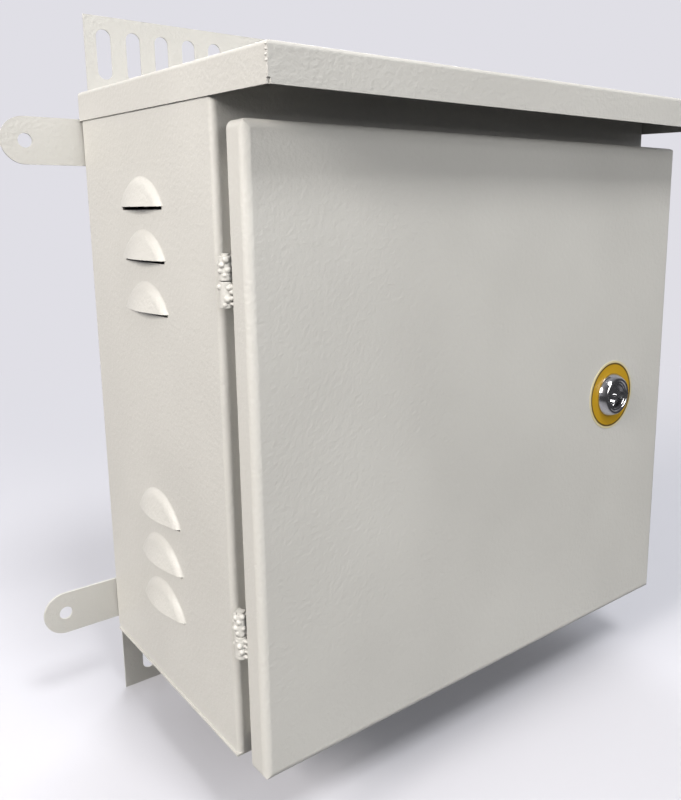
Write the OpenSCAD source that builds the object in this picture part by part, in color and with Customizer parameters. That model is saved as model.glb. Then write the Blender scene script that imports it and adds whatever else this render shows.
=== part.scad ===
// Wall and pole cabinet of folded sheet steel: louvred body, sloped rain hood, hinged pan door, cam lock.
// Millimetres. X to the right, Y to the back, Z up.
// The origin is the middle of the four ear holes, on the plane of the wall.

/* [Body shell] */
// outside width of the body across its sides
body_w = 400; // [300:1:600]
// height from the underside of the base to the flat top
body_h = 412; // [320:1:600]
// depth from the front frame to the back
body_d = 204; // [150:1:300]
// thickness of the folded sheet
sheet = 1.2; // [0.8:0.1:2]
// outside radius of a fold in the sheet
fold_r = 4; // [2.1:0.1:4.6]
// how far the base stands out past each side
base_ledge = 1.2; // [0.4:0.1:3]
// notch at the lower back corner of each side
corner_cut = 6; // [3:0.5:12]

/* [Front frame] */
// width of the strip folded in behind the door at the sides and the base
frame_w = 14; // [10:0.5:20]
// height of the strip folded down at the top
header_h = 46; // [36:0.5:60]
// how far the gutter lip stands forward of the strip
lip_d = 20; // [16:0.5:24]

/* [Louvres] */
// width of a louvre at its open edge
louvre_w = 70; // [40:1:100]
// height of a louvre from its open edge to its crown
louvre_h = 20; // [15:0.5:24]
// hollow rounding at the foot of a louvre
louvre_foot = 3; // [2:0.1:4]
// rounding of a louvre's rim
louvre_rim = 8; // [5:0.1:10]
// slope of a louvre where the foot meets the rim, in degrees
louvre_steep = 50; // [40:1:60]
// slope of a louvre's face towards its open edge, in degrees
louvre_face = 15; // [8:1:25]
// height of the slot below the open edge
louvre_gap = 2; // [0.5:0.5:5]
// distance from one louvre to the next in a group
louvre_pitch = 33.6; // [30:0.2:40]
// louvres in a group
louvre_n = 3; // [1:1:4]
// open edge of the lowest louvre above the underside
louvre_low = 60; // [40:1:80]
// flat top above the open edge of the highest louvre
louvre_high = 74.2; // [40:0.2:100]

/* [Rain hood] */
// overhang of the hood past the front frame
hood_out = 62; // [45:1:90]
// depth of the hood's flanges and front lip
hood_flange = 20; // [15:0.5:24]
// fall of the hood from back to front
hood_fall = 6; // [2:0.5:6]
// top of the hood at the back above the flat top
hood_rise = 7.6; // [7:0.1:12]
// gap between the hood's back edge and the back of the body
hood_gap = 1; // [0.6:0.1:4]
// outside radius of the hood's folds
hood_r = 2.5; // [2.1:0.1:4]
// width of the open seam below the weld of a front corner
slit_w = 1.4; // [1.3:0.1:3]
// height of that open seam
slit_h = 3; // [1:0.5:8]

/* [Strap plates] */
// width of a strap slot
slot_w = 11; // [8:0.5:16]
// end to end length of a strap slot
slot_l = 35; // [24:1:42]
// least metal between an end slot and the plate's end
slot_edge = 5; // [3:0.5:7]
// height of the upper plate above the hood
upper_h = 55; // [50:1:80]
// upper plate's ends inside the sides of the body
upper_inset = 7; // [1:0.5:40]
// clearance between a strap plate and the ears
plate_clear = 1; // [0.5:0.1:3]
// rim above the upper slots
upper_rim = 9; // [5:0.5:10]
// distance between the upper slots
upper_pitch = 22.4; // [20:0.1:24]
// drop of the lower plate below the base
lower_h = 58; // [54:1:80]
// lower plate's ends inside the sides of the body
lower_inset = 3; // [1:0.5:40]
// rim below the lower slots
lower_rim = 10.5; // [5:0.5:12]
// distance between the lower slots
lower_pitch = 29.3; // [20:0.1:31]

/* [Wall ears] */
// thickness of an ear
ear_t = 2; // [1.5:0.1:4]
// width of an ear
ear_w = 33; // [24:1:40]
// bolt hole outside the body's side
ear_out = 40; // [25:1:60]
// length of the ear's root on the back
ear_root = 40; // [20:1:80]
// radius of the bolt hole
ear_hole_r = 5; // [3:0.25:8]
// height of the lower holes above the underside
ear_low = 24.5; // [18:0.5:60]
// flat top above the upper holes
ear_high = 27.5; // [20:0.5:60]

/* [Door] */
// gap between the front frame and the door's flange
door_gap = 14.5; // [13:0.1:18]
// depth of the door pan
door_t = 16.5; // [12:0.1:25]
// inset of the door from each side of the body
door_inset = 1; // [0.5:0.1:4]
// flat top above the upper edge of the door
door_head = 30.5; // [28:0.5:34]
// how far the door hangs below the base
door_drop = 1; // [0:0.5:5]
// radius of the door's folded edges and corners
door_r = 5; // [2.1:0.1:6]
// width of the foam seal
seal_w = 10; // [6:0.5:12]
// clearance between the seal and the gutter lip
seal_clear = 0.3; // [0.1:0.1:1]

/* [Hinges] */
// hinge axis inside the side of the body
hinge_in = 1.5; // [1:0.1:3]
// radius of a hinge barrel
barrel_r = 5; // [4:0.1:5.5]
// length of a hinge
hinge_l = 30; // [20:1:50]
// gap between the two halves of a barrel
barrel_gap = 0.4; // [0.3:0.1:1]
// radius of a hinge pin
pin_r = 2.5; // [1.5:0.1:3]
// radial clearance of a pin or a turning shaft
run_clear = 0.05; // [0.02:0.01:0.1]
// height of the lower hinge above the underside
hinge_low = 86; // [60:1:140]
// flat top above the middle of the upper hinge
hinge_high = 115; // [80:1:160]
// radius of a lump of weld on a hinge
bead_r = 2.2; // [1.6:0.1:2.3]
// how far the middle of a weld lump stands off the barrel
bead_off = 0.3; // [0:0.1:0.5]
// width of the welded root of a barrel
root_w = 5; // [4:0.5:6]
// how far the root lies inside the hinge axis
root_in = 1; // [0.5:0.1:1.5]

/* [Lock] */
// lock axis from the free edge of the door
lock_in = 72; // [60:0.5:90]
// lock axis above the underside
lock_up = 187.5; // [120:0.5:240]
// outside radius of the ring label
label_r = 27.5; // [22:0.5:35]
// thickness of the ring label
label_t = 0.4; // [0.2:0.1:1]
// radius of the lock's collar
collar_r = 17.5; // [16:0.5:20]
// height of the lock's collar
collar_h = 6.5; // [5:0.5:10]
// rounding of the collar's shoulder
collar_round = 3; // [1:0.5:4]
// radius of the lock's threaded body
body_r = 13; // [12.5:0.1:14]
// clearance round the threaded body
body_clear = 0.2; // [0.1:0.1:0.5]
// radius of the plug's face
plug_r = 10; // [9:0.1:11]
// depth of the plug's face below the collar
plug_sink = 1.2; // [0.5:0.1:2]
// thickness of the plug's head
plug_head = 6; // [4:0.5:9]
// radius of the plug's shaft
shaft_r = 7; // [6:0.1:8]
// radius of the round socket in the plug's face
socket_r = 8.6; // [7:0.1:8.8]
// depth of the round socket
socket_d = 1.6; // [0.8:0.1:2.5]
// half-moon key opening below the plug's middle
key_low = 2.8; // [1.6:0.1:5]
// depth of the key opening
key_d = 5; // [3:0.1:5.5]
// radius of the guide pin for the key
guide_r = 1.3; // [0.8:0.1:1.5]
// thickness of the lock's hexagon nut
lock_nut_t = 5; // [3:0.5:8]
// width of the lock's nut across its corners
lock_nut_c = 38; // [34:0.5:46]
// length of the cam from the lock's axis
cam_l = 68; // [63:0.5:70]
// width of the cam
cam_w = 16; // [13:0.5:24]
// thickness of the cam
cam_t = 3; // [2:0.5:5]
// clearance between the cam and the frame
cam_clear = 2.4; // [0.6:0.1:4]
// side of the square that drives the cam
square_w = 8; // [6:0.5:9]

/* [Mounting plate] */
// gap between the mounting plate and each side of the body
plate_side = 35; // [20:1:70]
// gap between the mounting plate and the base or the top
plate_end = 31; // [21:1:70]
// thickness of the mounting plate
plate_t = 1.5; // [1:0.1:3]
// gap between the plate and the back
plate_off = 18; // [14:0.5:30]
// height of the plate's folded edges
plate_edge = 10; // [6:0.5:13]
// stud distance in from the plate's edges
stud_in = 16; // [14:0.5:40]
// radius of the studs
stud_r = 3; // [2:0.5:4]
// clearance round a stud
stud_clear = 0.3; // [0.1:0.1:1]
// thickness of a nut
nut_t = 5; // [3:0.5:7]
// width of a nut across its corners
nut_c = 11.5; // [10.5:0.1:16]
// radius of a washer
washer_r = 6.5; // [6:0.1:9]
// thickness of a washer
washer_t = 1.2; // [0.6:0.1:2]
// stud end past its nut
stud_end = 2; // [0.5:0.5:6]
// columns of tie slots in the plate
tie_cols = 5; // [2:1:7]
// rows of tie slots in the plate
tie_rows = 6; // [2:1:8]
// length of a tie slot
tie_l = 22; // [10:1:30]
// width of a tie slot
tie_w = 6; // [4:0.5:10]

/* [Cable entries] */
// radius of the hole in the base for a grommet
entry_r = 14; // [10:0.5:20]
// entry distance from the middle
entry_x = 70; // [40:1:120]
// radius of the cable opening in a grommet
cable_r = 9; // [5:0.5:9.5]
// width of a grommet's rim past its hole
grommet_rim = 3.5; // [2:0.5:6]
// thickness of a grommet's rim
grommet_lip = 3; // [1.5:0.5:5]
// clearance between a grommet and its hole
grommet_clear = 0.1; // [0.05:0.05:0.3]

/* [Earth studs] */
// height of the earth studs above the underside
earth_up = 62; // [50:1:75]
// door stud distance from the hinge edge
earth_in = 42; // [36:1:80]
// body stud distance behind the frame
earth_back = 30; // [20:1:60]

/* [Hidden] */
$fn = 64;
eps = 0.01;
over = 1;
ear_pitch = body_h - ear_low - ear_high;
y_back = -ear_t;
y_front = y_back - body_d;
z_base = -(ear_low + ear_pitch / 2);
z_top = z_base + body_h;
half_w = body_w / 2;
frame_x = half_w - frame_w;
strip_x = frame_x + fold_r;
lip_top = z_top - header_h;
lip_low = z_base + frame_w;
louvre_ring = (louvre_w * louvre_w / 4 + louvre_h * louvre_h) / (2 * louvre_h);
louvre_drop = louvre_ring - louvre_h;
louvre_arc = louvre_ring - (louvre_foot + louvre_rim) * sin(louvre_steep);
louvre_slot = sqrt(pow(louvre_ring - louvre_foot, 2) - louvre_drop * louvre_drop);
foot_sink = 0.1;
face_sink = 0.05;
louvre_y = (y_front + y_back) / 2;
louvre_group = body_h - louvre_low - louvre_high - (louvre_n - 1) * louvre_pitch;
hood_z = z_top + hood_rise;
hood_l = body_d - hood_gap + hood_out;
hood_slope = atan(hood_fall / hood_l);
upper_w = body_w - 2 * upper_inset;
lower_w = body_w - 2 * lower_inset;
door_y = y_front - door_gap - door_t;
door_w = body_w - 2 * door_inset;
door_z0 = z_base - door_drop;
door_h = body_h + door_drop - door_head;
door_zc = door_z0 + door_h / 2;
hinge_x = -half_w + hinge_in;
hinge_y = y_front - door_gap / 2;
hinge_z = [z_base + hinge_low, z_top - hinge_high];
seal_t = door_gap + door_t - sheet - lip_d - seal_clear;
lock_x = half_w - door_inset - lock_in;
lock_z = z_base + lock_up;
collar_y = door_y - label_t;
cam_y = y_front + sheet + cam_clear;
lock_l = cam_y - run_clear - collar_y;
plate_y = y_back - sheet - plate_off;
plate_w = body_w - 2 * plate_side;
plate_h = body_h - 2 * plate_end;
stud_x = plate_w / 2 - stud_in;
stud_z = plate_h / 2 - stud_in;
plate_zc = (z_base + z_top) / 2;
nut_y = plate_y - plate_t - washer_t - nut_t;
entry_y = (y_front + y_back) / 2;
paint = [0.78, 0.77, 0.74];
zinc = [0.62, 0.63, 0.65];
chrome = [0.8, 0.8, 0.82];
dark = [0.1, 0.1, 0.1];

// Quarter of a fold: ring sector round (x, y), turned by a, with outside radius r and the given wall.
module fold(x, y, a, r = fold_r, wall = sheet) {
  translate([x, y]) rotate(a) intersection() {
    difference() {
      circle(r);
      circle(r - wall);
    }
    square(r);
  }
}

// Extrudes a section drawn in (Y, Z) along X, centred, over the width w.
module along_x(w) {
  translate([-w / 2, 0, 0]) rotate([90, 0, 90]) linear_extrude(w) children();
}

// Rectangle with its two upper corners rounded; the upper edge lies on y = 0.
module rounded_top(w, h, r) {
  translate([-w / 2, -h]) square([w, h - r]);
  translate([-w / 2 + r, -h]) square([w - 2 * r, h]);
  translate([-w / 2 + r, -r]) circle(r);
  translate([w / 2 - r, -r]) circle(r);
}

// Rectangle with four rounded corners, centred.
module rounded_rect(w, h, r) {
  square([w, h - 2 * r], center = true);
  square([w - 2 * r, h], center = true);
  for (x = [-1, 1], y = [-1, 1]) translate([x * (w / 2 - r), y * (h / 2 - r)]) circle(r);
}

// Straight slot with round ends, upright, centred.
module slot(w, l) {
  square([w, l - w], center = true);
  for (s = [-1, 1]) translate([0, s * (l - w) / 2]) circle(w / 2);
}

// Odd number of slots at a pitch that fits a plate of width w, so that one is in the middle.
function slot_count(w, pitch) = 2 * floor((w / 2 - slot_edge - slot_w / 2) / pitch) + 1;

// Flat strap plate on the back of the body, between two heights, with a row of upright slots.
module strap_plate(w, z0, z1, pitch, slot_z) {
  n = slot_count(w, pitch);
  color(paint) translate([0, y_back + sheet, 0]) rotate([90, 0, 0]) linear_extrude(sheet) difference() {
    translate([-w / 2, z0]) square([w, z1 - z0]);
    for (i = [0 : n - 1]) translate([(i - (n - 1) / 2) * pitch, slot_z]) slot(slot_w, slot_l);
  }
}

// Half of the body's plan section without its gutter lip: strip, side and half of the back, on the left.
module half_plan() {
  translate([-half_w + fold_r, y_front]) square([frame_w - 2 * fold_r, sheet]);
  fold(-half_w + fold_r, y_front + fold_r, 180);
  translate([-half_w, y_front + fold_r]) square([sheet, body_d - 2 * fold_r]);
  fold(-half_w + fold_r, y_back - fold_r, 90);
  translate([-half_w + fold_r, y_back - sheet]) square([half_w - fold_r, sheet]);
}

// Gutter lip at the side of the opening: fold out of the strip and the lip that stands forward.
module side_lip_plan() {
  fold(-frame_x - fold_r, y_front + sheet - fold_r, 0);
  translate([-frame_x - sheet, y_front - lip_d]) square([sheet, lip_d + sheet - fold_r]);
}

// Section of a louvre from its middle outwards: sloped face, round rim and hollow foot, less a skin.
// The section stands on the height low, measured from the outside of the sheet.
module louvre_section(skin, low) {
  foot = louvre_foot - foot_sink;
  rim = louvre_rim - skin;
  middle = foot - (louvre_foot + louvre_rim) * cos(louvre_steep);
  bend = louvre_ring - (louvre_foot + skin) * sin(louvre_steep);
  edge = louvre_arc + (rim - face_sink) * sin(louvre_face);
  top = middle + (rim - face_sink) * cos(louvre_face);
  difference() {
    translate([bend, low]) square([louvre_ring - bend, foot - (louvre_foot + skin) * cos(louvre_steep) - low]);
    translate([louvre_ring, foot]) circle(louvre_foot + skin);
  }
  intersection() {
    translate([louvre_arc, middle]) circle(rim);
    translate([0, low]) square([louvre_ring, louvre_rim]);
  }
  polygon([[0, low], [louvre_arc, low], [edge, top], [0, top + edge * tan(louvre_face)]]);
}

// Pressed form of one louvre on the left side, cut off level at its open edge.
module louvre_form(skin, low) {
  intersection() {
    translate([0, 0, -louvre_drop]) rotate([0, -90, 0]) rotate_extrude() louvre_section(skin, low);
    translate([-louvre_w / 2, -louvre_w / 2, 0]) cube([louvre_w, louvre_w, louvre_h + over]);
  }
}

// Runs its children at the open edge of every louvre of the left side.
module at_louvres() {
  for (g = [0, 1], i = [0 : louvre_n - 1])
    translate([-half_w, louvre_y, z_base + louvre_low + g * louvre_group + i * louvre_pitch]) children();
}

// Hollow of one louvre and the slot below its open edge.
module louvre_hollow() {
  louvre_form(sheet, -sheet - over);
  translate([-sheet, -louvre_slot, -louvre_gap]) cube([2 * sheet + over, 2 * louvre_slot, louvre_gap + eps]);
}

module body_wrap() {
  color(paint) difference() {
    union() {
      translate([0, 0, z_base + sheet]) linear_extrude(body_h - 2 * sheet) {
        half_plan();
        mirror([1, 0]) half_plan();
      }
      translate([0, 0, lip_low]) linear_extrude(lip_top - lip_low) {
        side_lip_plan();
        mirror([1, 0]) side_lip_plan();
      }
      at_louvres() louvre_form(0, -sheet / 2);
      mirror([1, 0, 0]) at_louvres() louvre_form(0, -sheet / 2);
    }
    at_louvres() louvre_hollow();
    mirror([1, 0, 0]) at_louvres() louvre_hollow();
    for (s = [-1, 1]) translate([s * half_w, y_back, z_base + sheet]) rotate([45, 0, 0])
      cube([2 * corner_cut, corner_cut * sqrt(2), corner_cut * sqrt(2)], center = true);
  }
}

// Base: flat sheet under the sides, with the lower gutter folded from its front edge.
module base_panel() {
  edge = half_w + base_ledge;
  color(paint) difference() {
    union() {
      translate([0, 0, z_base]) linear_extrude(sheet) difference() {
        polygon([[-edge, y_front], [edge, y_front], [edge, y_back - corner_cut], [edge - corner_cut, y_back],
                 [corner_cut - edge, y_back], [-edge, y_back - corner_cut]]);
        translate([-strip_x, y_front - over]) square([2 * strip_x, fold_r + over]);
      }
      along_x(2 * strip_x) {
        fold(y_front + fold_r, z_base + fold_r, 180);
        translate([y_front, z_base + fold_r]) square([sheet, frame_w - 2 * fold_r]);
        fold(y_front + sheet - fold_r, lip_low - fold_r, 0);
        translate([y_front - lip_d, lip_low - sheet]) square([lip_d + sheet - fold_r, sheet]);
      }
    }
    for (s = [-1, 1]) translate([s * entry_x, entry_y, z_base - over])
      cylinder(r = entry_r, h = sheet + 2 * over);
  }
}

// Flat top with the header strip and the upper gutter lip folded from its front edge.
module top_panel() {
  color(paint) union() {
    difference() {
      translate([-half_w, y_front, z_top - sheet]) cube([body_w, body_d, sheet]);
      translate([-strip_x, y_front - over, z_top - sheet - over])
        cube([2 * strip_x, fold_r + over, sheet + 2 * over]);
    }
    along_x(2 * strip_x) {
      fold(y_front + fold_r, z_top - fold_r, 90);
      translate([y_front, lip_top + fold_r]) square([sheet, header_h - 2 * fold_r]);
      fold(y_front + sheet - fold_r, lip_top + fold_r, 270);
      translate([y_front - lip_d, lip_top]) square([lip_d + sheet - fold_r, sheet]);
    }
  }
}

// Solid block of the hood's tray, smaller by the wall on every side but the open ones.
module hood_block(wall) {
  reach = wall > 0 ? over : 0;
  intersection() {
    translate([0, reach, -wall]) rotate([90, 0, 0]) linear_extrude(hood_l + reach)
      rounded_top(body_w + 2 * (sheet - wall), hood_flange + reach, hood_r - wall);
    along_x(body_w + 4 * sheet) translate([0, -wall]) difference() {
      translate([-hood_l + wall, -hood_flange - reach]) square([hood_l - wall + reach, hood_flange + reach]);
      difference() {
        translate([-hood_l + wall - over, wall - hood_r]) square([hood_r - wall + over, hood_r + over]);
        translate([-hood_l + hood_r, wall - hood_r]) circle(hood_r - wall);
      }
    }
  }
}

// Rain hood: sloped tray with side flanges over the body's sides and a front lip, its front corners welded.
module rain_hood() {
  color(paint) translate([0, y_back - hood_gap, hood_z]) rotate([hood_slope, 0, 0]) difference() {
    hood_block(0);
    hood_block(sheet);
    for (s = [-1, 1]) translate([s * (half_w + sheet), -hood_l, -hood_flange])
      cube([2 * slit_w, 2 * slit_w, 2 * slit_h], center = true);
  }
}

module upper_strap_plate() {
  strap_plate(upper_w, ear_pitch / 2 + ear_w / 2 + plate_clear, hood_z + upper_h, upper_pitch,
              hood_z + upper_h - upper_rim - slot_l / 2);
}

module lower_strap_plate() {
  strap_plate(lower_w, z_base - lower_h, -ear_pitch / 2 - ear_w / 2 - plate_clear, lower_pitch,
              z_base - lower_h + lower_rim + slot_l / 2);
}

// Flat ear with a round end and a bolt hole; side is -1 on the left and 1 on the right.
module ear(side, z) {
  color(paint) translate([side * half_w, 0, z]) rotate([90, 0, 0]) linear_extrude(ear_t) difference() {
    union() {
      translate([side > 0 ? -ear_root : -ear_out, -ear_w / 2]) square([ear_root + ear_out, ear_w]);
      translate([side * ear_out, 0]) circle(ear_w / 2);
    }
    translate([side * ear_out, 0]) circle(ear_hole_r);
  }
}

module ear_upper_left() { ear(-1, ear_pitch / 2); }

module ear_upper_right() { ear(1, ear_pitch / 2); }

module ear_lower_left() { ear(-1, -ear_pitch / 2); }

module ear_lower_right() { ear(1, -ear_pitch / 2); }

// Galvanised plate with folded long edges, tie slots and a hole for each stud.
module mounting_plate() {
  color(zinc) difference() {
    translate([0, 0, plate_zc - plate_h / 2]) linear_extrude(plate_h) {
      translate([-plate_w / 2 + fold_r, plate_y - plate_t]) square([plate_w - 2 * fold_r, plate_t]);
      plate_edge_plan();
      mirror([1, 0]) plate_edge_plan();
    }
    for (x = [-1, 1], z = [-1, 1]) translate([x * stud_x, plate_y + over, plate_zc + z * stud_z])
      rotate([90, 0, 0]) cylinder(r = stud_r + stud_clear, h = plate_t + 2 * over);
    for (i = [0 : tie_cols - 1], k = [0 : tie_rows - 1])
      translate([tie_at(i, tie_cols, 2 * stud_x), plate_y + over, plate_zc + tie_at(k, tie_rows, 2 * stud_z)])
        rotate([90, 90, 0]) linear_extrude(plate_t + 2 * over) slot(tie_w, tie_l);
  }
}

// Place of a tie slot across a width, clear of the studs at both ends.
function tie_at(i, n, w) = w * ((i + 0.5) / n - 0.5);

// Folded edge of the mounting plate, on the left.
module plate_edge_plan() {
  fold(-plate_w / 2 + fold_r, plate_y - plate_t + fold_r, 180, fold_r, plate_t);
  translate([-plate_w / 2, plate_y - plate_t + fold_r]) square([plate_t, plate_edge - fold_r + plate_t]);
}

// Runs its children at each stud of the mounting plate, with Z along the stud, away from the back.
module at_studs(y) {
  for (x = [-1, 1], z = [-1, 1])
    translate([x * stud_x, y, plate_zc + z * stud_z]) rotate([90, 0, 0]) children();
}

// Hexagon nut standing on z = 0.
module hex_nut(c, t, bore) {
  difference() {
    cylinder(d = c, h = t, $fn = 6);
    translate([0, 0, -over]) cylinder(r = bore, h = t + 2 * over);
  }
}

module plate_studs() {
  color(zinc) at_studs(y_back - sheet)
    cylinder(r = stud_r, h = plate_off + plate_t + washer_t + nut_t + stud_end);
}

module plate_nuts() {
  color(zinc) {
    at_studs(plate_y + nut_t) hex_nut(nut_c, nut_t, stud_r + run_clear);
    at_studs(plate_y - plate_t - washer_t) hex_nut(nut_c, nut_t, stud_r + run_clear);
  }
}

module plate_washers() {
  color(zinc) at_studs(plate_y - plate_t) difference() {
    cylinder(r = washer_r, h = washer_t);
    translate([0, 0, -over]) cylinder(r = stud_r + stud_clear, h = washer_t + 2 * over);
  }
}

// Welded earth stud standing on z = 0.
module earth_stud() {
  cylinder(r = stud_r, h = washer_t + nut_t + stud_end);
}

// Washer and nut of an earth stud, standing on z = 0.
module earth_nut() {
  difference() {
    union() {
      cylinder(r = washer_r, h = washer_t);
      translate([0, 0, washer_t]) cylinder(d = nut_c, h = nut_t, $fn = 6);
    }
    translate([0, 0, -over]) cylinder(r = stud_r + run_clear, h = washer_t + nut_t + 2 * over);
  }
}

// Places children on the inside of the left side, with Z pointing inwards.
module on_left_side() {
  translate([-half_w + sheet, y_front + earth_back, z_base + earth_up]) rotate([0, 90, 0]) children();
}

// Places children on the inside of the door, with Z pointing inwards.
module on_door() {
  translate([-half_w + door_inset + earth_in, door_y + sheet, z_base + earth_up])
    rotate([-90, 0, 0]) children();
}

module body_earth_stud() { color(zinc) on_left_side() earth_stud(); }

module body_earth_nut() { color(zinc) on_left_side() earth_nut(); }

module door_earth_stud() { color(zinc) on_door() earth_stud(); }

module door_earth_nut() { color(zinc) on_door() earth_nut(); }

// Half of a hinge barrel from z0 to z1: bored tube, welded root towards the sheet, lumps of weld beside it.
// side is 1 towards the body's strip and -1 towards the door's flange.
module knuckle(z0, z1, side) {
  reach = door_gap / 2;
  weld_r = barrel_r + bead_off;
  lump_h = (z1 - z0) / 4;
  root_x = side < 0 ? hinge_x - root_w / 2 + root_in : -half_w + fold_r - root_w / 4;
  color(paint) difference() {
    union() {
      translate([hinge_x, hinge_y, z0]) cylinder(r = barrel_r, h = z1 - z0);
      translate([root_x, hinge_y - (side < 0 ? reach : 0), z0]) cube([root_w, reach, z1 - z0]);
      intersection() {
        for (a = [62, 100], i = [0 : 3])
          translate([hinge_x + weld_r * cos(a), hinge_y + side * weld_r * sin(a), z0 + lump_h * (i + 0.5)])
            sphere(bead_r);
        translate([hinge_x - 2 * barrel_r, hinge_y - (side < 0 ? reach : 0), z0])
          cube([4 * barrel_r, reach, z1 - z0]);
      }
    }
    translate([hinge_x, hinge_y, z0 - over]) cylinder(r = pin_r + run_clear, h = z1 - z0 + 2 * over);
  }
}

module upper_body_knuckle() { knuckle(hinge_z[1] + barrel_gap / 2, hinge_z[1] + hinge_l / 2, 1); }

module lower_body_knuckle() { knuckle(hinge_z[0] + barrel_gap / 2, hinge_z[0] + hinge_l / 2, 1); }

module upper_door_knuckle() { knuckle(hinge_z[1] - hinge_l / 2, hinge_z[1] - barrel_gap / 2, -1); }

module lower_door_knuckle() { knuckle(hinge_z[0] - hinge_l / 2, hinge_z[0] - barrel_gap / 2, -1); }

// Pin through both halves of a barrel.
module hinge_pin(z) {
  color(zinc) translate([hinge_x, hinge_y, z - hinge_l / 2]) cylinder(r = pin_r, h = hinge_l);
}

module upper_hinge_pin() { hinge_pin(hinge_z[1]); }

module lower_hinge_pin() { hinge_pin(hinge_z[0]); }

// Rubber grommet with a groove over the edge of its hole in the base.
module grommet(side) {
  color(dark) translate([side * entry_x, entry_y, z_base]) rotate_extrude() difference() {
    translate([cable_r, -grommet_lip])
      square([entry_r + grommet_rim - cable_r, 2 * grommet_lip + sheet]);
    translate([entry_r - grommet_clear, -eps]) square([2 * grommet_rim, sheet + 2 * eps]);
  }
}

module left_grommet() { grommet(-1); }

module right_grommet() { grommet(1); }

// Solid block of the door pan, smaller by the wall on every side but the open back.
module door_block(wall) {
  reach = wall > 0 ? over : 0;
  w = door_w - 2 * wall;
  h = door_h - 2 * wall;
  t = door_t - wall + reach;
  r = door_r - wall;
  translate([0, door_y + wall, door_zc]) intersection() {
    translate([0, 0, -h / 2]) rotate([0, 0, 180]) linear_extrude(h) rounded_top(w, t, r);
    translate([-w / 2, 0, 0]) rotate(a = 180, v = [1, 0, 1]) linear_extrude(w) rounded_top(h, t, r);
    translate([0, t, 0]) rotate([90, 0, 0]) linear_extrude(t) rounded_rect(w, h, r);
  }
}

// Door: pressed pan with four folded edges and the hole for the lock.
module door_panel() {
  color(paint) difference() {
    door_block(0);
    door_block(sheet);
    on_lock(door_y - over) cylinder(r = body_r + body_clear, h = sheet + 2 * over);
  }
}

// Foam seal on the inside of the door, in line with the gutter lip.
module door_seal() {
  x = frame_x + sheet / 2;
  z0 = lip_low - sheet / 2;
  z1 = lip_top + sheet / 2;
  color(dark) translate([0, door_y + sheet + seal_t, (z0 + z1) / 2]) rotate([90, 0, 0]) linear_extrude(seal_t)
    difference() {
      square([2 * x + seal_w, z1 - z0 + seal_w], center = true);
      square([2 * x - seal_w, z1 - z0 - seal_w], center = true);
    }
}

// Places children on the lock's axis, with Z pointing back into the cabinet from y.
module on_lock(y) {
  translate([lock_x, y, lock_z]) rotate([-90, 0, 0]) children();
}

module lock_label() {
  color([0.93, 0.68, 0.08]) on_lock(door_y - label_t) difference() {
    cylinder(r = label_r, h = label_t);
    translate([0, 0, -over]) cylinder(r = body_r + body_clear, h = label_t + 2 * over);
  }
}

// Lock housing: collar with a rounded shoulder, threaded body and a stepped bore for the plug.
module lock_housing() {
  color(chrome) on_lock(collar_y) rotate_extrude() difference() {
    union() {
      square([body_r, lock_l]);
      translate([0, -collar_h]) square([collar_r - collar_round, collar_h]);
      translate([0, collar_round - collar_h]) square([collar_r, collar_h - collar_round]);
      translate([collar_r - collar_round, collar_round - collar_h]) circle(collar_round);
    }
    translate([0, -collar_h - over]) square([shaft_r + run_clear, lock_l + collar_h + 2 * over]);
    translate([0, -collar_h - over]) square([plug_r + run_clear, plug_sink + plug_head + run_clear + over]);
    translate([plug_r, -collar_h]) rotate(45) square(plug_sink, center = true);
  }
}

module lock_nut() {
  color(zinc) on_lock(door_y + sheet) hex_nut(lock_nut_c, lock_nut_t, body_r + run_clear);
}

// Plug: face with a half-moon key socket and a guide pin, shaft, square for the cam and a threaded end.
module lock_plug() {
  color(chrome) on_lock(collar_y - collar_h + plug_sink) difference() {
    union() {
      cylinder(r = plug_r, h = plug_head);
      cylinder(r = shaft_r, h = lock_l + collar_h - plug_sink + run_clear);
      translate([0, 0, (lock_l + collar_h - plug_sink + cam_t + run_clear) / 2])
        cube([square_w, square_w, lock_l + collar_h - plug_sink + cam_t + run_clear], center = true);
      cylinder(r = stud_r, h = lock_l + collar_h - plug_sink + run_clear + cam_t + nut_t + stud_end);
    }
    translate([0, 0, -over]) difference() {
      cylinder(r = socket_r, h = socket_d + over);
      cylinder(r = guide_r, h = socket_d + 2 * over);
    }
    translate([0, 0, -over]) intersection() {
      cylinder(r = socket_r, h = key_d + over);
      translate([-socket_r, key_low, 0]) cube([2 * socket_r, socket_r, key_d + over]);
    }
  }
}

// Cam: flat bar on the plug's square, pointing up when the door is free.
module lock_cam() {
  color(zinc) on_lock(cam_y) linear_extrude(cam_t) difference() {
    union() {
      circle(cam_w / 2);
      translate([-cam_w / 2, -cam_l]) square([cam_w, cam_l]);
    }
    square(square_w + 2 * run_clear, center = true);
  }
}

module cam_nut() {
  color(zinc) on_lock(cam_y + cam_t) hex_nut(nut_c, nut_t, stud_r + run_clear);
}

body_wrap();
base_panel();
top_panel();
rain_hood();
upper_strap_plate();
lower_strap_plate();
ear_upper_left();
ear_upper_right();
ear_lower_left();
ear_lower_right();
mounting_plate();
plate_studs();
plate_nuts();
plate_washers();
body_earth_stud();
body_earth_nut();
upper_body_knuckle();
lower_body_knuckle();
upper_hinge_pin();
lower_hinge_pin();
left_grommet();
right_grommet();
door_panel();
door_seal();
upper_door_knuckle();
lower_door_knuckle();
door_earth_stud();
door_earth_nut();
lock_label();
lock_housing();
lock_nut();
lock_plug();
lock_cam();
cam_nut();
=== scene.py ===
from math import cos, pi, radians, sin
from random import Random

import bmesh
import bpy
from mathutils import Matrix, Vector


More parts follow.
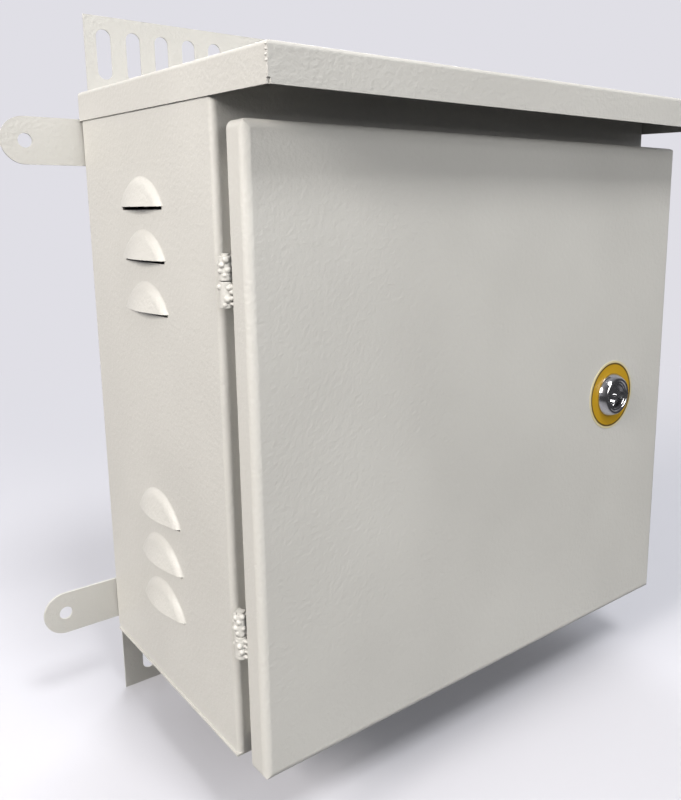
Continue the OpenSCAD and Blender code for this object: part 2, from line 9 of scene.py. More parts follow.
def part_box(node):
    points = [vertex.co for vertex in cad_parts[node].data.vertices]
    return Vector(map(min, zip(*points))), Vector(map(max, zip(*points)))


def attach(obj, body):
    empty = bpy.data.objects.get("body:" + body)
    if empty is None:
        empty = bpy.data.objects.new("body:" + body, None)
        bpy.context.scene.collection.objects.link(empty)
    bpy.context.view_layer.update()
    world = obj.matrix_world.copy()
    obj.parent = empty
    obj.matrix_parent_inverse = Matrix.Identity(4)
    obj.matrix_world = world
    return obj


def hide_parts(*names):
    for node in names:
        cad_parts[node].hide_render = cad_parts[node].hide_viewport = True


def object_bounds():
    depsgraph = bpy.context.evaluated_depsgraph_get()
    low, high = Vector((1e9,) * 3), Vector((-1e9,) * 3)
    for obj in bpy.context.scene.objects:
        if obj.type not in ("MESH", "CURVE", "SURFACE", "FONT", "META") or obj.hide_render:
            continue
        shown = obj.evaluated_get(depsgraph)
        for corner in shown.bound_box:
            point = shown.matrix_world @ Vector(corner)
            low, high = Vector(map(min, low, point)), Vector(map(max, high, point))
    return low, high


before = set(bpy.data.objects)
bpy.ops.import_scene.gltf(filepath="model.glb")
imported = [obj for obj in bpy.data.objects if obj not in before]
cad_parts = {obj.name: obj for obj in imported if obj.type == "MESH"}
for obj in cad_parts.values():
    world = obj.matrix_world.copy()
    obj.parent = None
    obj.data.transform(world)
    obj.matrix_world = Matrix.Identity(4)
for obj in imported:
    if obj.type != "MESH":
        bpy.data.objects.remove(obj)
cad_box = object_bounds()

# Shell of the cabinet: sides and back folded from one steel sheet with pressed louvres.
# The base and the top are welded in. Light warm grey powder coat with a pebbled skin, baked on after welding,
# so every painted piece shares it.
MM = 0.001


def new_material(name):
    material = bpy.data.materials.new(name)
    material.use_nodes = True
    nodes = material.node_tree.nodes
    return material, nodes, material.node_tree.links, nodes["Principled BSDF"]


def noise(nodes, links, scale, detail=2.0):
    coordinates = nodes.new("ShaderNodeTexCoord")
    texture = nodes.new("ShaderNodeTexNoise")
    texture.inputs["Scale"].default_value = scale
    texture.inputs["Detail"].default_value = detail
    links.new(coordinates.outputs["Object"], texture.inputs["Vector"])
    return texture.outputs["Fac"]


def ramp(nodes, links, factor, stops):
    node = nodes.new("ShaderNodeValToRGB")
    points = node.color_ramp.elements
    while len(points) < len(stops):
        points.new(0.5)
    for point, (place, colour) in zip(points, stops):
        point.position = place
        point.color = (*colour, 1.0)
    links.new(factor, node.inputs["Fac"])
    return node.outputs["Color"]


def spread(nodes, links, factor, low, high):
    node = nodes.new("ShaderNodeMapRange")
    node.inputs["To Min"].default_value = low
    node.inputs["To Max"].default_value = high
    links.new(factor, node.inputs["Value"])
    return node.outputs["Result"]


def bump(nodes, links, height, depth, under=None):
    node = nodes.new("ShaderNodeBump")
    node.inputs["Strength"].default_value = 1.0
    node.inputs["Distance"].default_value = depth
    links.new(height, node.inputs["Height"])
    if under:
        links.new(under, node.inputs["Normal"])
    return node.outputs["Normal"]


PAINT_DARK = (0.505, 0.498, 0.474)
PAINT_LIGHT = (0.55, 0.543, 0.517)
CLOUD_SCALE = 9.0
PEEL_SIZE = 2.8 * MM
PEEL_DEPTH = 0.34 * MM
GRIT_SIZE = 0.9 * MM
GRIT_DEPTH = 0.07 * MM


def powder_coat(name):
    material, nodes, links, shader = new_material(name)
    cloud = noise(nodes, links, CLOUD_SCALE)
    peel = noise(nodes, links, 1 / PEEL_SIZE)
    grit = noise(nodes, links, 1 / GRIT_SIZE)
    tone = ramp(nodes, links, cloud, [(0.3, PAINT_DARK), (0.7, PAINT_LIGHT)])
    links.new(tone, shader.inputs["Base Color"])
    links.new(spread(nodes, links, peel, 0.38, 0.56), shader.inputs["Roughness"])
    relief = bump(nodes, links, peel, PEEL_DEPTH)
    links.new(bump(nodes, links, grit, GRIT_DEPTH, relief), shader.inputs["Normal"])
    return material


def dress(material, *names):
    for name in names:
        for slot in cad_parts[name].material_slots:
            slot.material = material


paint = powder_coat("powder_coat")
dress(paint, "body_wrap", "base_panel", "top_panel")

# Rain hood: one sheet folded into a sloped tray, painted like the shell. Its front corners are closed by a
# run of weld, ground smooth in the lower half and left in lumps above. The seam's lowest end is open.
dress(paint, "rain_hood")


def node_in(tree, kind, **settings):
    node = tree.nodes.new(kind)
    for key, value in settings.items():
        setattr(node, key, value)
    return node


def weld_tree(name):
    tree = bpy.data.node_groups.new(name, "GeometryNodeTree")
    face = tree.interface
    face.new_socket("Geometry", in_out="INPUT", socket_type="NodeSocketGeometry")
    face.new_socket("Grain", in_out="INPUT", socket_type="NodeSocketFloat")
    face.new_socket("Roughness", in_out="INPUT", socket_type="NodeSocketFloat")
    face.new_socket("Material", in_out="INPUT", socket_type="NodeSocketMaterial")
    face.new_socket("Geometry", in_out="OUTPUT", socket_type="NodeSocketGeometry")
    link = tree.links.new
    given, made = node_in(tree, "NodeGroupInput"), node_in(tree, "NodeGroupOutput")
    size = node_in(tree, "GeometryNodeInputNamedAttribute", data_type="FLOAT")
    size.inputs["Name"].default_value = "drop_size"
    is_drop = node_in(tree, "FunctionNodeCompare", data_type="FLOAT", operation="GREATER_THAN")
    link(size.outputs["Attribute"], is_drop.inputs["A"])
    split = node_in(tree, "GeometryNodeSeparateGeometry", domain="POINT")
    link(given.outputs["Geometry"], split.inputs["Geometry"])
    link(is_drop.outputs["Result"], split.inputs["Selection"])
    ball = node_in(tree, "GeometryNodeMeshIcoSphere")
    ball.inputs["Radius"].default_value = 1.0
    ball.inputs["Subdivisions"].default_value = 3
    swell = node_in(tree, "FunctionNodeRandomValue", data_type="FLOAT_VECTOR")
    swell.inputs["Min"].default_value = (0.8, 0.8, 0.75)
    swell.inputs["Max"].default_value = (1.0, 1.0, 1.0)
    swell.inputs["Seed"].default_value = 7
    scale = node_in(tree, "ShaderNodeVectorMath", operation="SCALE")
    link(swell.outputs["Value"], scale.inputs["Vector"])
    link(size.outputs["Attribute"], scale.inputs["Scale"])
    drops = node_in(tree, "GeometryNodeInstanceOnPoints")
    link(split.outputs["Selection"], drops.inputs["Points"])
    link(ball.outputs["Mesh"], drops.inputs["Instance"])
    link(scale.outputs["Vector"], drops.inputs["Scale"])
    real = node_in(tree, "GeometryNodeRealizeInstances")
    link(drops.outputs["Instances"], real.inputs["Geometry"])
    both = node_in(tree, "GeometryNodeJoinGeometry")
    link(real.outputs["Geometry"], both.inputs["Geometry"])
    link(split.outputs["Inverted"], both.inputs["Geometry"])
    melt = node_in(tree, "GeometryNodeMeshToVolume", resolution_mode="VOXEL_SIZE")
    link(both.outputs["Geometry"], melt.inputs["Mesh"])
    link(given.outputs["Grain"], melt.inputs["Voxel Size"])
    skin = node_in(tree, "GeometryNodeVolumeToMesh", resolution_mode="VOXEL_SIZE")
    link(melt.outputs["Volume"], skin.inputs["Volume"])
    link(given.outputs["Grain"], skin.inputs["Voxel Size"])
    grain = node_in(tree, "ShaderNodeTexNoise")
    grain.inputs["Scale"].default_value = 700.0
    grain.inputs["Detail"].default_value = 1.0
    even = node_in(tree, "ShaderNodeMath", operation="SUBTRACT")
    even.inputs[1].default_value = 0.5
    link(grain.outputs["Fac"], even.inputs[0])
    depth = node_in(tree, "ShaderNodeMath", operation="MULTIPLY")
    link(even.outputs["Value"], depth.inputs[0])
    link(given.outputs["Roughness"], depth.inputs[1])
    outward = node_in(tree, "GeometryNodeInputNormal")
    shift = node_in(tree, "ShaderNodeVectorMath", operation="SCALE")
    link(outward.outputs["Normal"], shift.inputs["Vector"])
    link(depth.outputs["Value"], shift.inputs["Scale"])
    moved = node_in(tree, "GeometryNodeSetPosition")
    link(skin.outputs["Mesh"], moved.inputs["Geometry"])
    link(shift.outputs["Vector"], moved.inputs["Offset"])
    smooth = node_in(tree, "GeometryNodeSetShadeSmooth")
    link(moved.outputs["Geometry"], smooth.inputs["Geometry"])
    coat = node_in(tree, "GeometryNodeSetMaterial")
    link(smooth.outputs["Geometry"], coat.inputs["Geometry"])
    link(given.outputs["Material"], coat.inputs["Material"])
    link(coat.outputs["Geometry"], made.inputs["Geometry"])
    return tree


weld = weld_tree("weld")


def weld_piece(name, form, drops, grain, roughness, body):
    size = form.verts.layers.float.new("drop_size")
    for place, radius in drops:
        form.verts.new(place)[size] = radius
    guide_mesh = bpy.data.meshes.new(name + "_guide")
    form.to_mesh(guide_mesh)
    form.free()
    guide = bpy.data.objects.new(name + "_guide", guide_mesh)
    bpy.context.scene.collection.objects.link(guide)
    modifier = guide.modifiers.new("weld", "NODES")
    modifier.node_group = weld
    values = {"Grain": grain, "Roughness": roughness, "Material": paint}
    for socket in weld.interface.items_tree:
        if socket.in_out == "INPUT" and socket.name in values:
            modifier[socket.identifier] = values[socket.name]
    mesh = bpy.data.meshes.new_from_object(guide.evaluated_get(bpy.context.evaluated_depsgraph_get()))
    mesh.name = name
    guide.modifiers.remove(modifier)
    bpy.data.objects.remove(guide)
    piece = bpy.data.objects.new(name, mesh)
    bpy.context.scene.collection.objects.link(piece)
    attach(piece, body)
    return piece


hood_low, hood_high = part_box("rain_hood")
LIP_REACH = 3 * MM
hood_points = [vertex.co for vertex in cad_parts["rain_hood"].data.vertices]
lip_heights = [point.z for point in hood_points if point.y < hood_low.y + LIP_REACH]
lip_low, lip_top = min(lip_heights), max(lip_heights)
OPEN_SEAM = 3.4 * MM
RUN_END = 1.6 * MM
RUN_SUNK = 0.3 * MM
SMOOTH_SHARE = 0.5

for side, word in ((-1, "left"), (1, "right")):
    dice = Random(4 + side)
    seam_x = hood_high.x if side > 0 else hood_low.x
    drops = []
    z = lip_low + OPEN_SEAM
    while z < lip_top - RUN_END:
        smooth = (z - lip_low) / (lip_top - lip_low) < SMOOTH_SHARE
        radius = (0.95 if smooth else dice.uniform(1.1, 1.5)) * MM
        proud = (0.4 if smooth else dice.uniform(0.75, 1.0)) * MM
        drops.append(((seam_x - side * (radius - proud), hood_low.y + RUN_SUNK + radius, z), radius))
        z += (0.6 if smooth else dice.uniform(2.3, 3.0)) * MM
    weld_piece("hood_weld_" + word, bmesh.new(), drops, 0.22 * MM, 0.2 * MM, "cabinet")

# Strap plates: flat steel plates with upright slots for pole straps, painted like the shell.
# They are welded to the back, one above the hood and one below the base.
dress(paint, "upper_strap_plate", "lower_strap_plate")

# Wall ears: four flat steel bars with a round end and a bolt hole, painted like the shell.
# They are welded to the back and stand out at both sides.
dress(paint, "ear_upper_left", "ear_upper_right", "ear_lower_left", "ear_lower_right")

# Mounting plate: galvanised sheet with a frosted spangle.
# It is held off the back by four weld studs with zinc plated nuts and washers.
ZINC_DARK = (0.60, 0.61, 0.63)
ZINC_LIGHT = (0.70, 0.71, 0.73)
SPANGLE_SCALE = 140.0
FROST_SCALE = 600.0


def zinc_coat(name):
    material, nodes, links, shader = new_material(name)
    coordinates = nodes.new("ShaderNodeTexCoord")
    spangle = nodes.new("ShaderNodeTexVoronoi")
    spangle.inputs["Scale"].default_value = SPANGLE_SCALE
    links.new(coordinates.outputs["Object"], spangle.inputs["Vector"])
    grey = nodes.new("ShaderNodeRGBToBW")
    links.new(spangle.outputs["Color"], grey.inputs["Color"])
    tone = ramp(nodes, links, grey.outputs["Val"], [(0.2, ZINC_DARK), (0.8, ZINC_LIGHT)])
    links.new(tone, shader.inputs["Base Color"])
    shader.inputs["Metallic"].default_value = 0.8
    links.new(spread(nodes, links, grey.outputs["Val"], 0.42, 0.5), shader.inputs["Roughness"])
    links.new(bump(nodes, links, noise(nodes, links, FROST_SCALE), 0.02 * MM), shader.inputs["Normal"])
    return material


zinc = zinc_coat("zinc_plate")
dress(zinc, "mounting_plate", "plate_nuts", "plate_washers", "body_earth_nut", "door_earth_nut")

# Weld studs of the mounting plate and the two earth studs: zinc plated steel with a rolled M6 thread.
# Each one is a spiral of rings from its foot to its end, in place of the plain rod.
STUD_R = 3.0 * MM
THREAD_PITCH = 1.0 * MM
THREAD_DEPTH = 0.55 * MM
THREAD_STEPS = 24


def threaded_stud(form, foot, along, length):
    turn = Vector((0, 0, 1)).rotation_difference(along).to_matrix()
    rings = int(length / THREAD_PITCH * 4)
    rows = []
    for ring in range(rings + 1):
        row = []
        for step in range(THREAD_STEPS):
            z = length * ring / rings
            phase = (z / THREAD_PITCH - step / THREAD_STEPS) % 1.0
            depth = THREAD_DEPTH * (1 - abs(2 * phase - 1))
            if ring in (0, rings):
                depth = THREAD_DEPTH
            angle = 2 * pi * step / THREAD_STEPS
            place = Vector((cos(angle) * (STUD_R - depth), sin(angle) * (STUD_R - depth), z))
            row.append(form.verts.new(foot + turn @ place))
        rows.append(row)
    for low, high in zip(rows, rows[1:]):
        for step in range(THREAD_STEPS):
            following = (step + 1) % THREAD_STEPS
            form.faces.new((low[step], low[following], high[following], high[step]))
    form.faces.new(list(reversed(rows[0])))
    form.faces.new(rows[-1])


def stud_piece(node, corners, along, body):
    low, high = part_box(node)
    across = [axis for axis in range(3) if abs(along[axis]) < 0.5]
    span = max(range(3), key=lambda axis: abs(along[axis]))
    ends = ((low, STUD_R), (high, -STUD_R)) if corners else ((low, STUD_R),)
    form = bmesh.new()
    for first_corner, first_inset in ends:
        for second_corner, second_inset in ends:
            foot = Vector()
            foot[span] = low[span] if along[span] > 0 else high[span]
            foot[across[0]] = first_corner[across[0]] + first_inset
            foot[across[1]] = second_corner[across[1]] + second_inset
            threaded_stud(form, foot, along, high[span] - low[span])
    mesh = bpy.data.meshes.new(node + "_thread")
    form.to_mesh(mesh)
    form.free()
    mesh.materials.append(zinc)
    piece = bpy.data.objects.new(node + "_thread", mesh)
    bpy.context.scene.collection.objects.link(piece)
    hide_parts(node)
    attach(piece, body)


stud_piece("plate_studs", True, Vector((0, -1, 0)), "cabinet")
stud_piece("body_earth_stud", False, Vector((1, 0, 0)), "cabinet")
stud_piece("door_earth_stud", False, Vector((0, 1, 0)), "door")

# Hinges: a steel barrel in two halves on a pin, the upper one welded to the body, the lower one to the door.
# The welds are left as run, with drops of metal all round each half, and painted with the shell.
dress(paint, "upper_hinge_pin", "lower_hinge_pin")
BARREL_R = 4.5 * MM
BARREL_STEPS = 40
BORE_R = 2.7 * MM
BODY_HALF_SHORT = 1.2 * MM
DROP_REACH = 6.3 * MM
DROP_ROWS = 4
DROP_TURN = 72
ROW_INSET = 1.1 * MM
MISSED_SHARE = 0.15


def tube(form, axis, low, high):
    loops = []
    for radius, z in ((BARREL_R, low), (BARREL_R, high), (BORE_R, high), (BORE_R, low)):
        loop = []
        for step in range(BARREL_STEPS):
            angle = 2 * pi * step / BARREL_STEPS
            loop.append(form.verts.new((axis.x + radius * cos(angle), axis.y + radius * sin(angle), z)))
        loops.append(loop)
    for first, second in zip(loops, loops[1:] + loops[:1]):
        for step in range(BARREL_STEPS):
            following = (step + 1) % BARREL_STEPS
            form.faces.new((first[step], first[following], second[following], second[step]))


for word in ("upper", "lower"):
    pin_low, pin_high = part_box(word + "_hinge_pin")
    axis = (pin_low + pin_high) / 2
    for half, body in (("body", "cabinet"), ("door", "door")):
        on_door = half == "door"
        node = f"{word}_{half}_knuckle"
        low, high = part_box(node)
        dice = Random(f"{word} {half}")
        form = bmesh.new()
        tube(form, axis, low.z + 0.05 * MM, high.z - (0.0 if on_door else BODY_HALF_SHORT))
        drops = []
        for row in range(DROP_ROWS):
            share = (row + 0.5) / DROP_ROWS
            z = low.z + ROW_INSET + (high.z - low.z - 2 * ROW_INSET) * share
            for turn_to in range(0, 360, DROP_TURN):
                if on_door and share < 0.5 and not 215 < turn_to < 330:
                    continue
                if dice.random() < MISSED_SHARE:
                    continue
                radius = dice.uniform(1.7, 2.5) * MM
                angle = radians(turn_to + DROP_TURN / 2 * (row % 2) + dice.uniform(-14, 14))
                reach = DROP_REACH - radius - dice.uniform(0, 1.1) * MM
                height = z + dice.uniform(-0.9, 0.9) * MM
                if low.z + radius < height < high.z - radius:
                    drops.append(((axis.x + reach * cos(angle), axis.y + reach * sin(angle), height), radius))
            radius = dice.uniform(1.3, 1.7) * MM
            root_y = low.y + radius * 0.75 if on_door else high.y - radius * 0.75
            step_in = (dice.uniform(-0.6, 0.8) if on_door else dice.uniform(1.2, 4.0)) * MM
            barrel_y = axis.y + (-4.4 if on_door else 4.4) * MM
            drops.append(((axis.x + step_in, root_y, z), radius))
            drops.append(((axis.x + step_in * 0.7, (root_y + barrel_y) / 2, z), radius))
        piece = weld_piece(f"{word}_{half}_weld", form, drops, 0.3 * MM, 0.15 * MM, body)
        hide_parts(node)

# Cable grommets: black rubber with a fine matt grain.
# Each one is pressed into a round hole of the base, with a groove that holds the sheet.


def rubber(name, colour_low, colour_high, size):
    material, nodes, links, shader = new_material(name)
    grain = noise(nodes, links, 1 / size, 4.0)
    tone = ramp(nodes, links, grain, [(0.3, colour_low), (0.7, colour_high)])
    links.new(tone, shader.inputs["Base Color"])
    links.new(spread(nodes, links, grain, 0.6, 0.85), shader.inputs["Roughness"])
    links.new(bump(nodes, links, grain, 0.15 * MM), shader.inputs["Normal"])
    return material


black_rubber = rubber("black_rubber", (0.018, 0.018, 0.018), (0.035, 0.035, 0.036), 1.2 * MM)
dress(black_rubber, "left_grommet", "right_grommet")

# Door: a pan of steel sheet with folded and returned edges, painted like the shell.
# It hangs on the lower halves of the hinges.
dress(paint, "door_panel")

# Door seal: a crowned bead of black foam, poured round the inside of the door.
# The gutter's lip has left its mark along the middle of the bead.
foam = rubber("black_foam", (0.022, 0.022, 0.023), (0.05, 0.05, 0.052), 0.8 * MM)
seal_low, seal_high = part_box("door_seal")
SEAL_W = 10.0 * MM
SEAL_CORNER = 7.0 * MM
LIP_MARK = 0.5 * MM


def seal_profile():
    height = seal_high.y - seal_low.y
    half = SEAL_W / 2
    outline = [(-half, 0.0), (-half, 0.3 * height)]
    for step in range(1, 12):
        angle = pi - pi * step / 12
        outline.append((half * cos(angle), 0.3 * height + 0.7 * height * sin(angle) ** 0.7))
    outline += [(half, 0.3 * height), (half, 0.0)]
    return [(a, b - LIP_MARK * max(0.0, 1 - abs(a) / (1.6 * MM)) - 0.02 * MM * (b > 0)) for a, b in outline]


seal_form = bmesh.new()
centre_x = (seal_high.x - seal_low.x) / 2 - SEAL_W / 2
low_z, high_z = seal_low.z + SEAL_W / 2, seal_high.z - SEAL_W / 2
middle = (seal_low + seal_high) / 2
path = []
for x_side, z_side, start in ((1, 1, 0), (-1, 1, 90), (-1, -1, 180), (1, -1, 270)):
    centre = Vector((middle.x + x_side * (centre_x - SEAL_CORNER), 0,
                     (high_z - SEAL_CORNER) if z_side > 0 else (low_z + SEAL_CORNER)))
    for step in range(9):
        angle = radians(start + 90 * step / 8)
        outward = Vector((cos(angle), 0, sin(angle)))
        path.append((centre + outward * SEAL_CORNER, outward))
rings = []
for place, outward in path:
    rings.append([seal_form.verts.new((place.x + outward.x * a, seal_low.y + b, place.z + outward.z * a))
                  for a, b in seal_profile()])
for first, second in zip(rings, rings[1:] + rings[:1]):
    for k in range(len(first)):
        following = (k + 1) % len(first)
        seal_form.faces.new((first[k], first[following], second[following], second[k]))
bmesh.ops.recalc_face_normals(seal_form, faces=seal_form.faces)
for face in seal_form.faces:
    face.smooth = True
seal_mesh = bpy.data.meshes.new("foam_seal")
seal_form.to_mesh(seal_mesh)
seal_form.free()
seal_mesh.materials.append(foam)
foam_seal = bpy.data.objects.new("foam_seal", seal_mesh)
bpy.context.scene.collection.objects.link(foam_seal)
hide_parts("door_seal")
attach(foam_seal, "door")

# Lock: a chromed collar with a sloped shoulder, in one piece with the threaded body round the plug.
# A zinc plated nut holds it in the door, over a ring label of printed film, and the plug carries the cam.
CHROME_DARK = (0.50, 0.50, 0.51)
CHROME_LIGHT = (0.62, 0.62, 0.63)


def chrome_coat(name):
    material, nodes, links, shader = new_material(name)
    haze = noise(nodes, links, 300.0, 4.0)
    tone = ramp(nodes, links, haze, [(0.3, CHROME_DARK), (0.7, CHROME_LIGHT)])
    links.new(tone, shader.inputs["Base Color"])
    shader.inputs["Metallic"].default_value = 1.0
    links.new(spread(nodes, links, haze, 0.08, 0.2), shader.inputs["Roughness"])
    return material


chrome = chrome_coat("polished_chrome")
dress(chrome, "lock_plug")
dress(zinc, "lock_nut", "lock_cam", "cam_nut")

label_low, label_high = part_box("lock_label")
lock_axis = (label_low + label_high) / 2
LABEL_R = (label_high.x - label_low.x) / 2
housing_end = (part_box("lock_housing")[1].y - label_low.y) / MM
PLUG_BORE, TAIL_BORE, BORE_FLOOR = 10.06, 7.06, -0.74
THREAD_R, THREAD_ROOT, BODY_PITCH = 12.98, 12.3, 1.5
COLLAR_STEPS = 72
# Radius and height off the label in millimetres: shoulder, rim, then down the bore to the body's end.
shoulder = [(17.5, 0), (17.5, 0.8), (17.3, 1.4), (16.5, 3.0), (15.5, 4.7), (14.7, 5.8), (14.2, 6.3)]
rim = [(13.6, 6.49), (12.7, 6.49), (12.3, 6.3), (12.0, 5.9), (11.7, 5.6), (10.4, 5.5), (PLUG_BORE, 5.2)]
bore = [(PLUG_BORE, BORE_FLOOR), (TAIL_BORE, BORE_FLOOR), (TAIL_BORE, -housing_end), (12.4, -housing_end)]
thread = []
height = 0.6 - housing_end
while height < -BODY_PITCH:
    thread += [(THREAD_R, height), (THREAD_ROOT, height + BODY_PITCH / 2)]
    height += BODY_PITCH
outline = shoulder + rim + bore + thread + [(THREAD_R, 0)]

form = bmesh.new()
loops = []
for step in range(COLLAR_STEPS):
    angle = 2 * pi * step / COLLAR_STEPS
    outward = Vector((cos(angle), 0, sin(angle)))
    foot = Vector((lock_axis.x, label_low.y, lock_axis.z))
    loops.append([form.verts.new(foot + (outward * r + Vector((0, -h, 0))) * MM) for r, h in outline])
for first, second in zip(loops, loops[1:] + loops[:1]):
    for k in range(len(outline)):
        following = (k + 1) % len(outline)
        form.faces.new((first[k], first[following], second[following], second[k]))
bmesh.ops.recalc_face_normals(form, faces=form.faces)
for face in form.faces:
    face.smooth = True
for edge in form.edges:
    edge.smooth = edge.calc_face_angle() < radians(32)
collar_mesh = bpy.data.meshes.new("lock_collar")
form.to_mesh(collar_mesh)
form.free()
collar_mesh.materials.append(chrome)
lock_collar = bpy.data.objects.new("lock_collar", collar_mesh)
bpy.context.scene.collection.objects.link(lock_collar)
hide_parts("lock_housing")
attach(lock_collar, "door")

YELLOW = (0.46, 0.27, 0.012)
DARK_INK = (0.10, 0.06, 0.01)
PALE_EDGE = (0.60, 0.54, 0.34)


def printed_film(name):
    material, nodes, links, shader = new_material(name)
    coordinates = nodes.new("ShaderNodeTexCoord")
    centre = nodes.new("ShaderNodeMapping")
    centre.inputs["Location"].default_value = (-lock_axis.x, 0, -lock_axis.z)
    centre.inputs["Scale"].default_value = (1, 0, 1)
    links.new(coordinates.outputs["Object"], centre.inputs["Vector"])
    radius = nodes.new("ShaderNodeVectorMath")
    radius.operation = "LENGTH"
    links.new(centre.outputs["Vector"], radius.inputs[0])
    share = nodes.new("ShaderNodeMath")
    share.operation = "DIVIDE"
    share.inputs[1].default_value = LABEL_R
    links.new(radius.outputs["Value"], share.inputs[0])
    stops = [(0.0, YELLOW), (0.885, YELLOW), (0.9, DARK_INK), (0.935, DARK_INK)]
    stops += [(0.95, PALE_EDGE), (1.0, PALE_EDGE)]
    links.new(ramp(nodes, links, share.outputs["Value"], stops), shader.inputs["Base Color"])
    shader.inputs["Roughness"].default_value = 0.3
    return material


dress(printed_film("printed_film"), "lock_label")

# Stage: a pale floor that keeps the shadow and fades into the backdrop, with soft lamps all round.
# Metal mirrors a dimmer room in front of the cabinet. The camera stands where the photograph was taken.
BACKDROP = (0.745, 0.738, 0.79)
FLOOR_NEAR = (0.57, 0.574, 0.622)
FLOOR_BOUNCE = (0.055, 0.055, 0.058)
floor_z = cad_box[0][2] - 0.2 * MM

floor_mesh = bpy.data.meshes.new("floor")
floor_form = bmesh.new()
bmesh.ops.create_circle(floor_form, cap_ends=True, radius=6.0, segments=96)
bmesh.ops.translate(floor_form, verts=floor_form.verts, vec=(0, 0, floor_z))
floor_form.to_mesh(floor_mesh)
floor_form.free()
floor = bpy.data.objects.new("floor", floor_mesh)
bpy.context.scene.collection.objects.link(floor)



def fade(nodes, links, value, start, end, low=0.0, high=1.0):
    node = nodes.new("ShaderNodeMapRange")
    node.interpolation_type = "SMOOTHSTEP"
    for name, number in (("From Min", start), ("From Max", end), ("To Min", low), ("To Max", high)):
        node.inputs[name].default_value = number
    links.new(value, node.inputs["Value"])
    return node.outputs["Result"]


def blend(nodes, links, share, first, second):
    node = nodes.new("ShaderNodeMixShader")
    links.new(share, node.inputs["Fac"])
    links.new(first, node.inputs[1])
    links.new(second, node.inputs[2])
    return node.outputs["Shader"]


def plain_shader(nodes, kind, colour):
    node = nodes.new(kind)
    node.inputs["Color"].default_value = (*colour, 1)
    return node


def rays(nodes, links):
    ray = nodes.new("ShaderNodeLightPath")
    mirrored = nodes.new("ShaderNodeMath")
    mirrored.operation = "MAXIMUM"
    links.new(ray.outputs["Is Glossy Ray"], mirrored.inputs[0])
    links.new(ray.outputs["Is Transmission Ray"], mirrored.inputs[1])
    return ray.outputs["Is Camera Ray"], mirrored.outputs["Value"]


floor_paper, nodes, links, shader = new_material("floor_paper")
nodes.remove(shader)
coordinates = nodes.new("ShaderNodeTexCoord")
distance = nodes.new("ShaderNodeVectorMath")
distance.operation = "LENGTH"
links.new(coordinates.outputs["Object"], distance.inputs[0])
heading = nodes.new("ShaderNodeSeparateXYZ")
links.new(coordinates.outputs["Object"], heading.inputs["Vector"])
camera_ray, mirror_ray = rays(nodes, links)
near = plain_shader(nodes, "ShaderNodeBsdfDiffuse", FLOOR_NEAR).outputs["BSDF"]
far = plain_shader(nodes, "ShaderNodeEmission", BACKDROP).outputs["Emission"]
bounce = plain_shader(nodes, "ShaderNodeBsdfDiffuse", FLOOR_BOUNCE).outputs["BSDF"]
dim_far = plain_shader(nodes, "ShaderNodeEmission", BACKDROP)
links.new(fade(nodes, links, heading.outputs["Y"], -0.3, 0.8, 0.1, 0.9), dim_far.inputs["Strength"])
seen = blend(nodes, links, fade(nodes, links, distance.outputs["Value"], 0.35, 1.5), near, far)
mirror_fade = fade(nodes, links, distance.outputs["Value"], 0.2, 0.7)
mirrored = blend(nodes, links, mirror_fade, near, dim_far.outputs["Emission"])
unseen = blend(nodes, links, mirror_ray, bounce, mirrored)
links.new(blend(nodes, links, camera_ray, unseen, seen), nodes["Material Output"].inputs["Surface"])
floor_mesh.materials.append(floor_paper)

world = bpy.data.worlds.new("studio")
bpy.context.scene.world = world
world.use_nodes = True
nodes, links = world.node_tree.nodes, world.node_tree.links
heading = nodes.new("ShaderNodeSeparateXYZ")
links.new(nodes.new("ShaderNodeTexCoord").outputs["Generated"], heading.inputs["Vector"])
camera_ray, mirror_ray = rays(nodes, links)
sky = nodes["Background"]
sky.inputs["Color"].default_value = (0.95, 0.96, 1.0, 1)
links.new(fade(nodes, links, heading.outputs["Z"], -0.1, 0.9, 0.35, 0.26), sky.inputs["Strength"])
room = plain_shader(nodes, "ShaderNodeBackground", BACKDROP)
links.new(fade(nodes, links, heading.outputs["Y"], -0.7, 0.3, 0.12, 0.9), room.inputs["Strength"])
backdrop = plain_shader(nodes, "ShaderNodeBackground", BACKDROP)
unseen = blend(nodes, links, mirror_ray, sky.outputs["Background"], room.outputs["Background"])
shown = blend(nodes, links, camera_ray, unseen, backdrop.outputs["Background"])
links.new(shown, nodes["World Output"].inputs["Surface"])


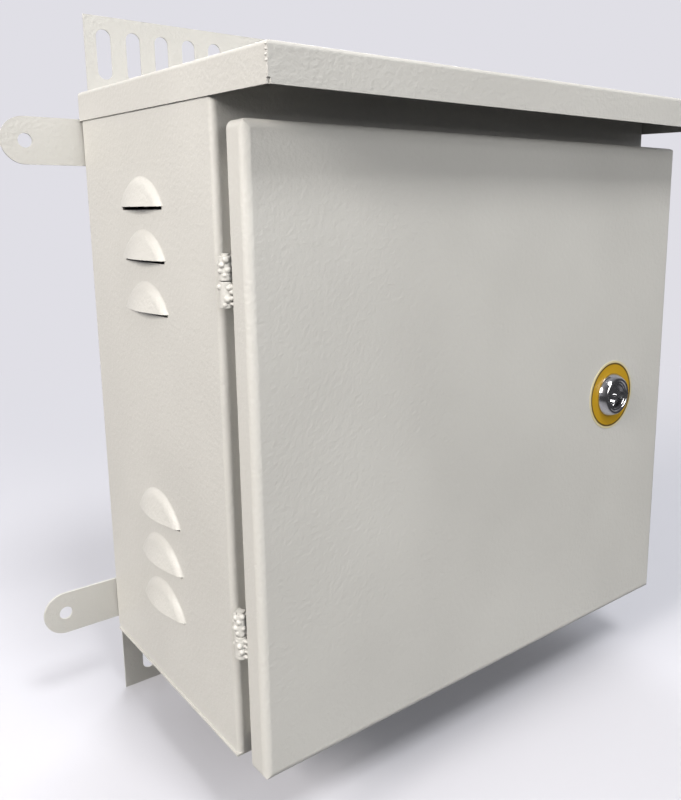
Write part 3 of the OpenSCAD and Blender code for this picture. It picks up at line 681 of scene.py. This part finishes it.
def soft_lamp(name, place, target, size, watts, colour):
    data = bpy.data.lights.new(name, "AREA")
    data.shape = "SQUARE"
    data.size = size
    data.energy = watts
    data.color = colour
    lamp = bpy.data.objects.new(name, data)
    lamp.location = place
    lamp.rotation_euler = (Vector(target) - Vector(place)).to_track_quat("-Z", "Y").to_euler()
    bpy.context.scene.collection.objects.link(lamp)


soft_lamp("left_lamp", (-2.2, -0.5, 1.2), (-0.1, -0.1, -0.12), 0.9, 72.0, (1.0, 0.95, 0.89))
soft_lamp("front_lamp", (-0.15, -2.8, 1.1), (0, -0.15, -0.05), 1.5, 38.0, (1.0, 0.99, 0.97))
soft_lamp("top_lamp", (-0.2, -1.9, 2.8), (0, -0.15, 0), 0.8, 58.0, (1.0, 0.99, 0.97))
soft_lamp("back_lamp", (1.5, 2.3, 1.3), (0, 0, 0), 1.8, 58.0, (0.98, 0.99, 1.0))

FRAME_PX = (681, 800)
FOCUS_PX = 787.849
AXIS_PX = (372.379, 359.593)
EYE = Vector((-403.725, -602.244, 130.345)) * MM
YAW, PITCH, ROLL = radians(38.223), radians(10.789), radians(-0.457)
SENSOR = 36.0

camera_data = bpy.data.cameras.new("camera")
camera_data.sensor_width = SENSOR
camera_data.lens = FOCUS_PX * SENSOR / FRAME_PX[1]
camera_data.shift_x = (FRAME_PX[0] / 2 - AXIS_PX[0]) / FRAME_PX[1]
camera_data.shift_y = (AXIS_PX[1] - FRAME_PX[1] / 2) / FRAME_PX[1]
camera_data.clip_start = 0.01
camera = bpy.data.objects.new("camera", camera_data)
bpy.context.scene.collection.objects.link(camera)
ahead = Vector((sin(YAW) * cos(PITCH), cos(YAW) * cos(PITCH), -sin(PITCH)))
level = Vector((cos(YAW), -sin(YAW), 0))
rise = level.cross(ahead)
right = cos(ROLL) * level + sin(ROLL) * rise
up = cos(ROLL) * rise - sin(ROLL) * level
turn = Matrix((right, up, -ahead)).transposed()
camera.matrix_world = Matrix.Translation(EYE) @ turn.to_4x4()
bpy.context.scene.camera = camera
bpy.context.scene.view_settings.view_transform = "Standard"
